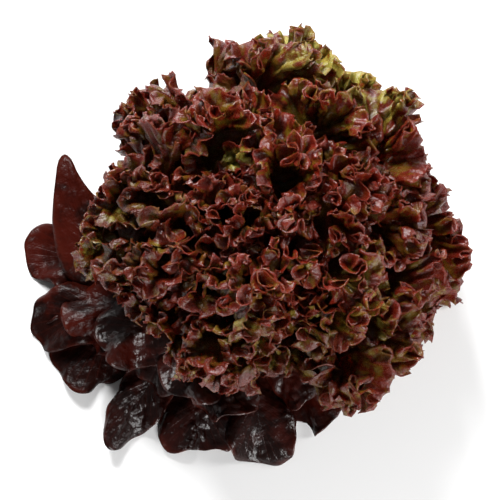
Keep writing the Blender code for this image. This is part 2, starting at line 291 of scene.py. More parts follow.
@dataclass(frozen=True)
class Weave:
    """How a sheet is cut into triangles: coarse near the midrib, and finer by halves outwards."""

    columns: int
    rows: tuple[tuple[float, int], ...]
    busy_side: float = 1.0
    busy_columns: float = 1.0

    @cached_property
    def strides(self) -> list[int]:
        """How many of the finest columns each row steps over."""
        finest = max(level for _, level in self.rows)
        return [2 ** (finest - level) for _, level in self.rows]

    @cached_property
    def side(self) -> np.ndarray:
        """The finest columns, from one corner of the root to the other.

        Returns:
            Each one's side, closer where the leaf is busy.
        """
        half = self.columns // 2
        even = np.arange(-half, half + 1) / half
        return np.sign(even) * np.interp(np.abs(even), (0, self.busy_columns, 1), (0, self.busy_side, 1))

    @cached_property
    def row(self) -> np.ndarray:
        """The rows from midrib to margin."""
        return np.array([row for row, _ in self.rows])

    @cached_property
    def index(self) -> np.ndarray:
        """The grid's vertices. The midrib's two sides share theirs.

        Returns:
            Each grid point's vertex, or -1 for none.
        """
        index = np.full((len(self.rows), self.columns + 1), -1)
        count = 0
        for number, stride in enumerate(self.strides):
            picked = np.arange(0, self.columns + 1, stride)
            if number == 0:
                half = picked[: len(picked) // 2 + 1]
                index[0, half] = np.arange(len(half))
                index[0, self.columns - half] = np.arange(len(half))
                count = len(half)
                continue
            index[number, picked] = count + np.arange(len(picked))
            count += len(picked)
        return index

    @cached_property
    def corners(self) -> np.ndarray:
        """The triangles.

        Returns:
            Three vertices for each, facing the leaf's upper side.
        """
        found = []
        for number, stride in enumerate(self.strides[1:], 1):
            inner, outer = self.index[number - 1], self.index[number]
            wide = self.strides[number - 1]
            start = np.arange(0, self.columns, wide)
            a, b = inner[start], inner[start + wide]
            if wide == stride:
                c, d = outer[start], outer[start + wide]
                found += [np.stack([a, c, d], 1), np.stack([a, d, b], 1)]
            else:
                c, middle, d = outer[start], outer[start + stride], outer[start + wide]
                found += [np.stack([a, c, middle], 1), np.stack([a, middle, b], 1)]
                found += [np.stack([b, middle, d], 1)]
        corners = np.concatenate(found)
        following = np.roll(corners, 1, axis=1)
        return corners[(corners != following).all(axis=1)]

    @cached_property
    def picked(self) -> tuple[np.ndarray, np.ndarray]:
        """Where the vertices are in the grid.

        Returns:
            Their rows and their columns, in the vertices' order.
        """
        order = {}
        for (row, column), vertex in np.ndenumerate(self.index):
            if vertex >= 0 and vertex not in order:
                order[vertex] = (row, column)
        places = np.array([order[vertex] for vertex in range(len(order))])
        return places[:, 0], places[:, 1]


@dataclass
class Sheet:
    """A leaf's upper face as a grid of points, with what its finish needs to know at each."""

    weave: Weave
    points: np.ndarray
    facts: dict[str, np.ndarray] = field(default_factory=dict)

    def frames(self) -> tuple[np.ndarray, np.ndarray, np.ndarray]:
        """The sheet's own directions at each grid point.

        Returns:
            Unit vectors along the margin, outwards and upwards from the sheet.
        """
        with_margin = np.gradient(self.points, axis=1)
        outward = np.gradient(self.points, axis=0)
        upward = unit(np.cross(outward, with_margin))
        return unit(with_margin), unit(outward), upward

    def margin_run(self) -> np.ndarray:
        """How far along the real margin each column is."""
        steps = np.linalg.norm(np.diff(self.points[-1], axis=0), axis=-1)
        return np.concatenate([[0], np.cumsum(steps)])

    def mesh(self, name: str) -> bpy.types.Mesh:
        """The sheet as a mesh, with its facts as attributes.

        Args:
            name: The mesh's name.

        Returns:
            The new mesh.
        """
        rows, columns = self.weave.picked
        points = self.points[rows, columns]
        corners = self.weave.corners
        mesh = bpy.data.meshes.new(name)
        mesh.vertices.add(len(points))
        mesh.vertices.foreach_set("co", points.astype(np.float32).ravel())
        mesh.loops.add(corners.size)
        mesh.loops.foreach_set("vertex_index", corners.astype(np.int32).ravel())
        mesh.polygons.add(len(corners))
        mesh.polygons.foreach_set("loop_start", np.arange(0, corners.size, 3, dtype=np.int32))
        mesh.update(calc_edges=True)
        mesh.validate()
        mesh.shade_smooth()
        for fact, values in self.facts.items():
            attribute = mesh.attributes.new(fact, "FLOAT", "POINT")
            attribute.data.foreach_set("value", values[rows, columns].astype(np.float32))
        return mesh


def smoothed(values: np.ndarray, reach: int) -> np.ndarray:
    """Averages neighbouring columns.

    Args:
        values: A grid of vectors, rows by columns.
        reach: How many columns each way.

    Returns:
        The averaged grid.
    """
    padded = np.pad(values, ((0, 0), (reach, reach), (0, 0)), mode="edge")
    total = np.cumsum(np.pad(padded, ((0, 0), (1, 0), (0, 0))), axis=1)
    width = 2 * reach + 1
    return (total[:, width:] - total[:, :-width]) / width


LEAST_BEND = 1.0


def roll_over(
    sheet: Sheet, outward: np.ndarray, upward: np.ndarray, beyond: np.ndarray, bend_deg: np.ndarray
) -> None:
    """Rolls the sheet's outer part, up where the bend is positive and down where it is negative.

    Args:
        sheet: The sheet to bend.
        outward: The direction that rolls over, at each grid point.
        upward: The direction that it rolls to.
        beyond: How far outside the line where the roll starts each grid point is.
        bend_deg: How sharply it rolls, in degrees a metre.
    """
    reach = np.clip(beyond, 0, None)
    bend = np.radians(bend_deg)
    bend = np.where(np.abs(bend) < LEAST_BEND, LEAST_BEND, bend)
    forth = np.sin(bend * reach) / bend - reach
    over = (1 - np.cos(bend * reach)) / bend
    sheet.points = sheet.points + outward * forth[..., None] + upward * over[..., None]


@dataclass(frozen=True)
class Edge:
    """Where a sheet's edge may bend: the distance in from the margin, and 1 down to 0 near the root."""

    inset: np.ndarray
    calm: np.ndarray
    draw: random.Random

    def near(self, depth: float) -> np.ndarray:
        """1 on the margin, down to 0 at some depth."""
        return np.clip(1 - self.inset / depth, 0, 1)


@dataclass(frozen=True)
class Ruffle:
    """One size of ruffles: their length along the edge, their height, and how deep into the leaf they go."""

    SWAY_LENGTH = 5.3
    SWELL_LENGTH = 3.7
    WARP_LENGTH = 2.2

    length: float
    height: float
    depth: float
    growth: float = 1.2
    roll: float = 0.8
    uneven: float = 0.35
    sway: float = 1.6
    warp: float = 0.0
    steady_columns: int = 6

    def bend(self, sheet: Sheet, edge: Edge) -> None:
        """Ruffles the sheet.

        Args:
            sheet: The sheet to bend.
            edge: Where it may bend.
        """
        with_margin, _, upward = sheet.frames()
        upward = unit(smoothed(upward, self.steady_columns))
        run = sheet.margin_run()
        sway = Waver(edge.draw, self.SWAY_LENGTH * self.length).at(run)
        swell = Waver(edge.draw, self.SWELL_LENGTH * self.length).at(run)
        around = 2 * math.pi * edge.inset / (self.WARP_LENGTH * self.length)
        bent = self.warp * np.sin(around + 2 * sway)
        turn = 2 * math.pi * run / self.length + self.sway * sway + bent
        grown = edge.near(self.depth) ** self.growth * edge.calm * (1 + self.uneven * swell)
        lift = self.height * grown * np.cos(turn)
        spread = self.roll * self.length / (4 * math.pi) * grown * np.sin(2 * turn)
        sheet.points = sheet.points + upward * lift[..., None] + with_margin * spread[..., None]


@dataclass(frozen=True)
class Lip:
    """The edge's last stretch, that rolls over to the underside here and to the upper side there."""

    depth: float = 8 * MM
    turn_deg: float = 60
    vary_deg: float = 60
    length: float = 26 * MM
    steady_columns: int = 2

    def bend(self, sheet: Sheet, edge: Edge) -> None:
        """Rolls the edge.

        Args:
            sheet: The sheet whose edge rolls.
            edge: Where it may roll.
        """
        _, outward, upward = sheet.frames()
        upward = unit(smoothed(upward, self.steady_columns))
        turned = self.turn_deg + self.vary_deg * Waver(edge.draw, self.length).at(sheet.margin_run())
        roll_over(sheet, outward, upward, self.depth - edge.inset, -turned * edge.calm / self.depth)


@dataclass(frozen=True)
class Teeth:
    """Points along the edge of a frilled leaf, a few columns apart."""

    apart: tuple[int, ...] = (3, 4, 6, 8)
    size: float = 2.8 * MM
    least: float = 0.15
    unequal: float = 1.5
    dip: float = 0.12
    depth: float = 6 * MM

    def cut(self, sheet: Sheet, edge: Edge) -> None:
        """Pulls the edge out into points.

        Args:
            sheet: The sheet whose edge is toothed.
            edge: Where there are teeth.
        """
        _, outward, _ = sheet.frames()
        reach = np.full(sheet.points.shape[1], -self.dip)
        column = edge.draw.choice(self.apart)
        while column < len(reach):
            reach[column] = edge.draw.uniform(self.least, 1) ** self.unequal
            column += edge.draw.choice(self.apart)
        near = edge.near(self.depth) ** 2
        sheet.points = sheet.points + outward * (self.size * reach * near * edge.calm)[..., None]


@dataclass(frozen=True)
class Growth:
    """How an edge, grown longer than what lies inside it, finds its shape as a real sheet would."""

    LEAST_APART = 1e-6

    along: float
    outward: float
    depth: float
    profile: float
    rounds: int
    stiffness: float = 0.9
    give: float = 0.25
    freed_by: float = 0.15

    def pull(
        self,
        points: np.ndarray,
        free: np.ndarray,
        step: tuple[int, int],
        rest: np.ndarray,
        least: bool = False,
    ) -> None:
        """Moves each pair of points towards its rest distance.

        Args:
            points: The grid of points, moved in place.
            free: How freely each may move.
            step: Rows and columns from a point to its partner.
            rest: The rest distance of each pair.
            least: Only keeps pairs from coming closer.
        """
        down, aside = step
        rows, columns = points.shape[:2]
        first = np.s_[: rows - down, max(0, -aside) : columns - max(0, aside)]
        second = np.s_[down:, max(0, aside) : columns + min(0, aside)]
        apart = points[second] - points[first]
        length = np.maximum(np.sqrt(np.einsum("ijk,ijk->ij", apart, apart)), TINY)
        share = (length - rest) / length
        if least:
            share = np.minimum(share, 0)
        move = apart * (self.give * share)[..., None]
        points[first] += move * free[first]
        points[second] -= move * free[second]

    @staticmethod
    def between(lengths: np.ndarray) -> np.ndarray:
        """The mean of each row and the next."""
        return (lengths[1:] + lengths[:-1]) / 2

    def relax(self, sheet: Sheet, plain: np.ndarray, edge: Edge) -> None:
        """Lets the sheet settle into the lengths that it has grown.

        Args:
            sheet: The roughly ruffled sheet.
            plain: The same grid before it ruffled.
            edge: Where it may ruffle.
        """
        near = edge.near(self.depth) * edge.calm
        start = max(0, int(np.argmax(near.max(axis=1) > 0)) - 1)
        near, plain = near[start:], plain[start:]
        grown = np.sqrt(1 + (self.along**2 - 1) * near**self.profile)
        apart_wide = np.maximum(np.linalg.norm(np.diff(plain, axis=1), axis=-1), self.LEAST_APART)
        apart_tall = np.maximum(np.linalg.norm(np.diff(plain, axis=0), axis=-1), self.LEAST_APART)
        wide = apart_wide * (grown[:, 1:] + grown[:, :-1]) / 2
        tall = apart_tall * (1 + (self.outward - 1) * near[1:])
        stretched = np.hypot(self.between(wide), self.between(tall.T).T)
        stretched = stretched / np.hypot(self.between(apart_wide), self.between(apart_tall.T).T)
        falling = np.linalg.norm(plain[1:, 1:] - plain[:-1, :-1], axis=-1) * stretched
        rising = np.linalg.norm(plain[1:, :-1] - plain[:-1, 1:], axis=-1) * stretched
        wider = self.stiffness * (wide[:, 1:] + wide[:, :-1])
        taller = self.stiffness * (tall[1:] + tall[:-1])
        free = smoothstep(0, self.freed_by, near)[..., None]
        points = sheet.points[start:].copy()
        for _ in range(self.rounds):
            self.pull(points, free, (0, 1), wide)
            self.pull(points, free, (1, 0), tall)
            self.pull(points, free, (1, 1), falling)
            self.pull(points, free, (1, -1), rising)
            self.pull(points, free, (0, 2), wider, least=True)
            self.pull(points, free, (2, 0), taller, least=True)
        sheet.points = np.concatenate([sheet.points[:start], points])


@dataclass(frozen=True)
class Blisters:
    """The puffed panels between a leaf's veins, from the size of one and its height."""

    FAR = 9.0
    CALMER = (0.55, 0.45)
    CALMER_LENGTHS = (2.1, 1.7)
    FLAT_FROM = 0.8
    SPOTS = (0.1, 0.9)
    SEEDS = 1 << 30
    STARTS = 6

    size: float
    height: float

    def height_at(self, x: np.ndarray, y: np.ndarray, draw: random.Random) -> np.ndarray:
        """How far each place of the leaf stands up.

        Args:
            x: Distance along the leaf.
            y: Distance across it.
            draw: Where the random places of the panels come from.

        Returns:
            The panels' heights.
        """
        shift = np.random.default_rng(draw.randrange(self.SEEDS))
        column, line = (np.floor(place / self.size).astype(int) for place in (x, y))
        first, rows = column.min() - 1, column.max() - column.min() + 4
        start, columns = line.min() - 1, line.max() - line.min() + 4
        spots = shift.uniform(*self.SPOTS, (rows, columns, 2))
        nearest = np.full(x.shape, self.FAR)
        second = nearest
        for step in np.ndindex(3, 3):
            cell_x, cell_y = column + step[0] - 1, line + step[1] - 1
            spot = spots[cell_x - first, cell_y - start]
            gap = np.hypot(cell_x + spot[..., 0] - x / self.size, cell_y + spot[..., 1] - y / self.size)
            second = np.minimum(second, np.maximum(nearest, gap))
            nearest = np.minimum(nearest, gap)
        along, aside = (length * self.size for length in self.CALMER_LENGTHS)
        swell = np.sin(x / along + draw.uniform(0, self.STARTS)) * np.cos(y / aside)
        calmer = self.CALMER[0] + self.CALMER[1] * swell
        return self.height * calmer * smoothstep(0, self.FLAT_FROM, second - nearest)


SETTLE_OVER = 1.5 * MM
LEAST_CLEAR = 0.3 * MM


def settle(points: np.ndarray, thickness: float) -> np.ndarray:
    """Keeps a blade on the surface the lettuce lies on: what would sink below it lies flat.

    Args:
        points: The blade's upper face.
        thickness: The blade's thickness.

    Returns:
        The settled points.
    """
    level = thickness + LEAST_CLEAR
    over = (points[..., 2] - level) / SETTLE_OVER
    rise = np.logaddexp(0, over) - 0.5 * np.exp(-np.abs(over))
    settled = points.copy()
    settled[..., 2] = level + SETTLE_OVER * np.maximum(rise, 0)
    return settled


class Hue(Enum):
    """A frilled leaf's leading colour."""

    RED = 0.0
    GREEN = 0.3


@dataclass(frozen=True)
class Ring:
    """One ring of frilled leaves, with its solids' sizes, and how fine its leaves' margins are."""

    name: str
    leaves: int
    first_deg: float
    sector_deg: float
    root_z: float
    tip_r: float
    tip_z: float
    start_deg: float
    end_deg: float
    half_waves: int
    frill: float
    rib: float
    hue: Hue
    fineness: float = 1.0


RINGS = (
    Ring("skirt", 4, -27.5, 180, 13 * MM, 132 * MM, 14 * MM, -10, 26, 18, 7 * MM, 2.2 * MM, Hue.GREEN, 0.6),
    Ring("lower", 7, 24, 360, 22 * MM, 134 * MM, 48 * MM, 6, 24, 18, 9 * MM, 2.2 * MM, Hue.GREEN),
    Ring("outer", 7, 2, 360, 28 * MM, 127 * MM, 80 * MM, 22, 28, 18, 9.5 * MM, 2.0 * MM, Hue.RED),
    Ring("shoulder", 6, 33, 360, 34 * MM, 111 * MM, 106 * MM, 34, 40, 18, 9.5 * MM, 2.0 * MM, Hue.RED),
    Ring("middle", 6, 5, 360, 40 * MM, 90 * MM, 127 * MM, 45, 51, 16, 9 * MM, 1.8 * MM, Hue.RED),
    Ring("crown", 5, 30, 360, 46 * MM, 66 * MM, 142 * MM, 57, 62, 14, 9 * MM, 1.6 * MM, Hue.RED),
    Ring("inner", 4, 0, 360, 51 * MM, 41 * MM, 152 * MM, 68, 73, 12, 8 * MM, 1.5 * MM, Hue.RED, 0.75),
    Ring("heart", 3, 50, 360, 56 * MM, 12 * MM, 155 * MM, 80, 92, 8, 5 * MM, 1.4 * MM, Hue.RED, 0.4),
)


@dataclass(frozen=True)
class Patch:
    """A place on the lettuce, seen from above and in millimetres, and how strong its effect is."""

    x: float
    y: float
    spread_x: float
    spread_y: float
    strength: float

    def at(self, points: np.ndarray) -> tuple[np.ndarray, np.ndarray, np.ndarray]:
        """How points lie in the patch.

        Args:
            points: Places on the lettuce.

        Returns:
            Their distances from its middle in x and y, in spreads, and how much of it reaches them.
        """
        across = (points[..., 0] / MM - self.x) / self.spread_x
        along = (points[..., 1] / MM - self.y) / self.spread_y
        return across, along, np.exp(-(across**2) - along**2)


# Deep gaps between the frills, each as strong as it is deep in millimetres.
GAPS = (Patch(23, 33, 5, 20, 16), Patch(37, -24, 6, 6, 14), Patch(-54, -12, 13, 5, 16))
GAP_SPLIT = 1.2 * MM
GAPS_BETWEEN = (0.4 * HEAD_TOP, 0.8 * HEAD_TOP)


def open_gaps(points: np.ndarray) -> np.ndarray:
    """Parts and lowers the frills over each gap.

    Args:
        points: Places on the head.

    Returns:
        The moved places.
    """
    moved = points.copy()
    for gap in GAPS:
        across, along, near = gap.at(points)
        moved[..., 0] += GAP_SPLIT * gap.spread_x * across * near
        moved[..., 1] += GAP_SPLIT * gap.spread_y * along * near * (gap.spread_y < gap.spread_x)
        moved[..., 2] -= gap.strength * MM * near * smoothstep(*GAPS_BETWEEN, points[..., 2])
    return moved


GREEN_PATCHES = (
    Patch(66, 112, 50, 28, 1.3),
    Patch(104, 88, 22, 20, 0.6),
    Patch(18, 142, 18, 10, 0.5),
    Patch(-92, -6, 28, 30, 0.5),
    Patch(-4, -76, 38, 16, 0.45),
    Patch(84, -58, 26, 44, 0.5),
    Patch(-12, 40, 9, 6, 2.0),
)
# Patches of painted shade: the frills there are darkened towards a near-black shade colour.
SHADE_PATCHES = (Patch(-88, -4, 34, 40, 0.5), Patch(32, -94, 52, 24, 0.4))
WARM_PATCHES = (Patch(-140, 20, 40, 60, 0.8), Patch(-80, -75, 30, 20, 0.6), Patch(50, -120, 25, 30, 0.6))


def painted(points: np.ndarray, patches: tuple[Patch, ...]) -> np.ndarray:
    """How strongly the patches colour these places."""
    return sum(patch.strength * patch.at(points)[2] for patch in patches)


def laid_rows(steps: tuple[tuple[float, float, int, int], ...]) -> tuple[tuple[float, int], ...]:
    """Rows of a weave from stretches of them.

    Args:
        steps: Each stretch's first and last row, its number of rows and its level.

    Returns:
        Each row's place and level.
    """
    rows = [(0.0, steps[0][3])]
    for first, last, count, level in steps:
        rows += [(first + (last - first) * (number + 1) / count, level) for number in range(count)]
    return tuple(rows)


FRILLED_ROWS = laid_rows(((0.0, 0.4, 3, 0), (0.4, 0.55, 2, 1), (0.55, 0.77, 4, 2), (0.77, 1.0, 6, 3)))
SMOOTH_ROWS = laid_rows(((0.0, 1.0, 18, 0),))
COLUMN_STEP = 16
Stretch = tuple[float, float]


@dataclass(frozen=True)
class FrilledLeaves:
    """The frilled head: every leaf of every ring, ruffled, rolled and toothed."""

    finest_columns: int = 576
    busy_columns: float = 0.95
    thickness: float = 0.4 * MM
    roll: float = 0.75
    fold_depth: float = 24 * MM
    fold_in_deg: float = 35
    fold_wave_deg: float = 45
    fold_uneven: float = 0.45
    fold_swell: float = 0.3
    fold_upright: float = 0.35
    lean: float = 9 * MM
    lean_swell: float = 0.35
    overlap: float = 1.15
    grown_rows: Stretch = (0, 0.4)
    grown_along: Stretch = (0.2, 0.5)
    uneven_turns: int = 9
    drift_turns: int = 5
    calm_rows: Stretch = (0.1, 0.4)
    calm_along: Stretch = (0.25, 0.5)
    curls: Ruffle = Ruffle(
        12 * MM, 5.5 * MM, 32 * MM, growth=0.8, roll=1.0, uneven=0.7, sway=2.4, warp=1.4, steady_columns=10
    )
    crimps: Ruffle = Ruffle(7.5 * MM, 0.9 * MM, 10 * MM, roll=0.8, uneven=0.6, steady_columns=3)
    growth: Growth = Growth(along=4.9, outward=1.12, depth=42 * MM, profile=2.4, rounds=120)
    lip: Lip = Lip()
    teeth: Teeth = Teeth()
    blisters: Blisters = Blisters(9 * MM, 3 * MM)
    crumpled: float = 14 * MM
    puffed_rows: Stretch = (0, 0.3)
    hue_swings: tuple[tuple[float, float], ...] = ((0.2, 90 * MM), (0.35, 30 * MM))
    veins: float = 40

    def sheet(self, ring: Ring, index: int) -> Sheet:
        """One leaf's upper face.

        Args:
            ring: The leaf's ring.
            index: Its number in the ring, from 0.

        Returns:
            The bent sheet.
        """
        draw = random.Random(SEED + 100 * RINGS.index(ring) + index)
        undercut = max(0.0, -math.sin(math.radians(ring.start_deg))) * ring.rib
        foot = STEM_FOOT + (STEM_TOP - STEM_FOOT) * (ring.root_z - ring.rib) / STEM_HEIGHT
        root, tip = (foot + LEAF_GAP + undercut, ring.root_z), (ring.tip_r, ring.tip_z)
        meridian = Meridian(root, tip, ring.start_deg, ring.end_deg)
        sector = math.radians(ring.sector_deg) / ring.leaves
        heading = math.radians(ring.first_deg) + sector * index
        stretch = draw.uniform(*LEAF_LENGTHS)
        phase = draw.uniform(0, 2 * math.pi)

        def half_width(share: np.ndarray) -> np.ndarray:
            """Half the leaf's width.

            Args:
                share: Shares of its length.

            Returns:
                The half width at each.
            """
            cap = np.clip((share - ROUND_FROM) / (1 - ROUND_FROM), 0, 1)
            full = self.overlap * sector / 2 * meridian.at(share)[0] - SIDE_GAP
            return full * (1 - cap**ROUNDNESS) ** (1 / ROUNDNESS)

        blade = Blade(meridian.length * stretch, half_width, FRILL_FROM, ring.half_waves, FRILLED_VEIN_SLANT)
        columns = COLUMN_STEP * round(self.finest_columns * ring.fineness / COLUMN_STEP)
        weave = Weave(columns, FRILLED_ROWS, blade.waved_side, self.busy_columns)
        side, row = np.meshgrid(weave.side, weave.row)
        across, along, inset = blade.at(side, row)
        inset = inset / (1 + sum(lobe.at(math.degrees(heading)) for lobe in DEEPER))
        grown = np.clip(1 - inset / FRILL_DEPTH, 0, 1) ** FRILL_GROWTH
        grown = grown * smoothstep(*self.grown_rows, row) * smoothstep(*self.grown_along, along)
        wave = np.cos(blade.turn(side)) * blade.fade(side)
        rolled = self.roll * grown * blade.fade(side) * np.sin(2 * blade.turn(side))
        across, along, _ = blade.at(side + rolled / (2 * math.pi * blade.columns), row)
        tooth = TOOTH * wave * grown
        out, up, slope = meridian.at((along + tooth * along / blade.length) * stretch)
        turn = heading + across / meridian.at(along)[0]

        def lifted(lift: np.ndarray) -> np.ndarray:
            """The leaf's points, raised from the unruffled blade.

            Args:
                lift: How far each is raised.

            Returns:
                The points.
            """
            radius = out - lift * np.sin(slope)
            height = up + lift * np.cos(slope)
            return lean_head(np.stack([radius * np.cos(turn), radius * np.sin(turn), height], -1))

        uneven = FRILL_UNEVEN * (np.sin(self.uneven_turns * side + phase) - 1)
        drift = FRILL_UNEVEN * np.sin(self.drift_turns * side + 2 * phase)
        plain = lifted(0)
        with_margin, outward, upward = Sheet(weave, plain).frames()
        sheet = Sheet(weave, lifted(ring.frill * grown * (wave * (1 + uneven) + drift)))
        calm = smoothstep(*self.calm_along, along) * smoothstep(*self.calm_rows, row)
        edge = Edge(inset, calm, draw)
        upright = abs(math.radians(ring.start_deg + ring.end_deg)) / 2
        level = self.fold_upright + (1 - self.fold_upright) * math.cos(upright)
        swell = 1 + self.fold_uneven * Waver(draw, self.fold_swell).at(side)
        folded = (self.fold_in_deg + self.fold_wave_deg * wave) * swell * calm * level / self.fold_depth
        leaning = self.lean * Waver(draw, self.lean_swell).at(side) * calm * grown
        sheet.points = sheet.points + with_margin * leaning[..., None]
        roll_over(sheet, outward, upward, self.fold_depth - inset, folded)
        self.curls.bend(sheet, edge)
        self.crimps.bend(sheet, edge)
        self.growth.relax(sheet, plain, edge)
        sheet.points = smoothed(sheet.points, 1)
        puff = self.blisters.height_at(along * blade.length, across, draw)
        puff = puff * smoothstep(0, self.crumpled, inset) * smoothstep(*self.puffed_rows, row)
        sheet.points = sheet.points + sheet.frames()[2] * puff[..., None]
        self.lip.bend(sheet, edge)
        self.teeth.cut(sheet, edge)
        sheet.points = settle(open_gaps(sheet.points), self.thickness)
        run = sheet.margin_run()
        swing = sum(size * Waver(draw, length).at(run) for size, length in self.hue_swings)
        sheet.facts = {
            "inset": inset / MM,
            "fan": side * self.veins,
            "green": painted(sheet.points, GREEN_PATCHES) + ring.hue.value + swing,
            # How strongly the painted shade patches darken this leaf.
            "shade_share": painted(sheet.points, SHADE_PATCHES),
            "tone": np.full_like(inset, draw.uniform(0, 1)),
        }
        return sheet

    def build(self, dress: "Wardrobe") -> list[bpy.types.Object]:
        """Makes every frilled leaf.

        Args:
            dress: The finishes.

        Returns:
            The leaves.
        """
        made = []
        for ring in RINGS:
            for index in range(ring.leaves):
                node = f"{ring.name}_leaf_{index + 1}"
                made.append(leaf_piece(node, self.sheet(ring, index), self.thickness, dress.frilled))
        return made


def leaf_piece(
    node: str, sheet: Sheet, thickness: float, finishes: tuple[bpy.types.Material, ...]
) -> bpy.types.Object:
    """Thickens a sheet into a leaf that stands for its solid.

    Args:
        node: The solid's name.
        sheet: The leaf's upper face.
        thickness: How thick the blade is.
        finishes: The materials of its upper side, underside and edge.

    Returns:
        The leaf.
    """
    leaf = bpy.data.objects.new(f"{node}_dressed", sheet.mesh(node))
    bpy.context.scene.collection.objects.link(leaf)
    for finish in finishes:
        leaf.data.materials.append(finish)
    solid = leaf.modifiers.new("thickness", "SOLIDIFY")
    solid.thickness = thickness
    solid.offset = -1
    solid.material_offset = 1
    solid.material_offset_rim = 2
    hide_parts(node)
    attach(leaf, "root")
    return leaf


@dataclass(frozen=True)
class SmoothLeaf:
    """One smooth leaf: its tier, its heading and its own sizes, close to its solid's."""

    tier: str
    heading_deg: float
    reach: float
    half_width: float
    tip_z: float
    camber: float
    bend: float
    roundness: float = 3.0
    wider: float = 1.2
    ruffled: float = 1.0
    bend_growth: float = 5


@dataclass(frozen=True)
class Tier:
    """One tier of smooth leaves: height of its roots, slope at root and tip."""

    root_z: float
    start_deg: float
    end_deg: float


SMOOTH_LEAVES = (
    SmoothLeaf("low", 174, 146 * MM, 21 * MM, 3 * MM, 2 * MM, 0, wider=1.05),
    SmoothLeaf("low", 207, 141 * MM, 25 * MM, 3 * MM, 3 * MM, 0),
    SmoothLeaf("low", 258, 129 * MM, 29 * MM, 3 * MM, 3 * MM, 0, wider=1.0),
    SmoothLeaf("low", 303, 128 * MM, 19 * MM, 3 * MM, 3 * MM, 4 * MM, 2.5, 1.35),
    SmoothLeaf("second", 195, 143 * MM, 21 * MM, 9 * MM, 3 * MM, -3 * MM, 2.4, 1.15),
    SmoothLeaf("second", 232, 143 * MM, 19 * MM, 6 * MM, 3 * MM, 12 * MM, 2.1, 1.0, 0.6, 3),
    SmoothLeaf("second", 281, 139 * MM, 20 * MM, 7 * MM, 3 * MM, 3 * MM, 2.3, 1.2),
    SmoothLeaf("mid", 198, 117 * MM, 21 * MM, 20 * MM, 3 * MM, 5 * MM),
    SmoothLeaf("mid", 232, 96 * MM, 19 * MM, 20 * MM, 3 * MM, -3 * MM),
    SmoothLeaf("mid", 269, 100 * MM, 22 * MM, 20 * MM, 3 * MM, 4 * MM),
    SmoothLeaf("mid", 302, 106 * MM, 14 * MM, 20 * MM, 3 * MM, -4 * MM),
    SmoothLeaf("top", 212, 99 * MM, 24 * MM, 34 * MM, 4 * MM, 4 * MM),
    SmoothLeaf("top", 252, 92 * MM, 20 * MM, 34 * MM, 4 * MM, 3 * MM),
    SmoothLeaf("side", 167, 130 * MM, 17 * MM, 28 * MM, 3 * MM, -62 * MM, 1.1, 2.1, 0.2, 7),
    SmoothLeaf("side", 336, 134 * MM, 15 * MM, 24 * MM, 2 * MM, 4 * MM),
)
SMOOTH_TIERS = {
    "low": Tier(5 * MM, 5, -6),
    "second": Tier(9.5 * MM, 12, -10),
    "mid": Tier(14 * MM, 24, -8),
    "top": Tier(18 * MM, 33, -2),
    "side": Tier(16 * MM, 4, 12),
}
SMOOTH_HALF_WAVES = 10
SMOOTH_WAVE = 2.5 * MM
SMOOTH_WAVE_DEPTH = 24 * MM
SMOOTH_WAVE_FROM = 0.4
SMOOTH_UNEVEN = 0.25
SMOOTH_STALK = 2.6 * MM
SMOOTH_WIDEST = 0.66
SMOOTH_OPENS = 0.12
SMOOTH_RIB = 2.4 * MM
SIDE_FOOT = 13 * MM
SIDE_TOP = 7 * MM
SIDE_HEIGHT = 22 * MM
SIDE_CENTRE = np.array((-12 * MM, -16 * MM, 0))
SIDE_LEAN = np.array((-5 * MM, -7 * MM, SIDE_HEIGHT))


def heading_vector(degrees: float) -> np.ndarray:
    """A level unit vector."""
    turn = math.radians(degrees)
    return np.array((math.cos(turn), math.sin(turn), 0))


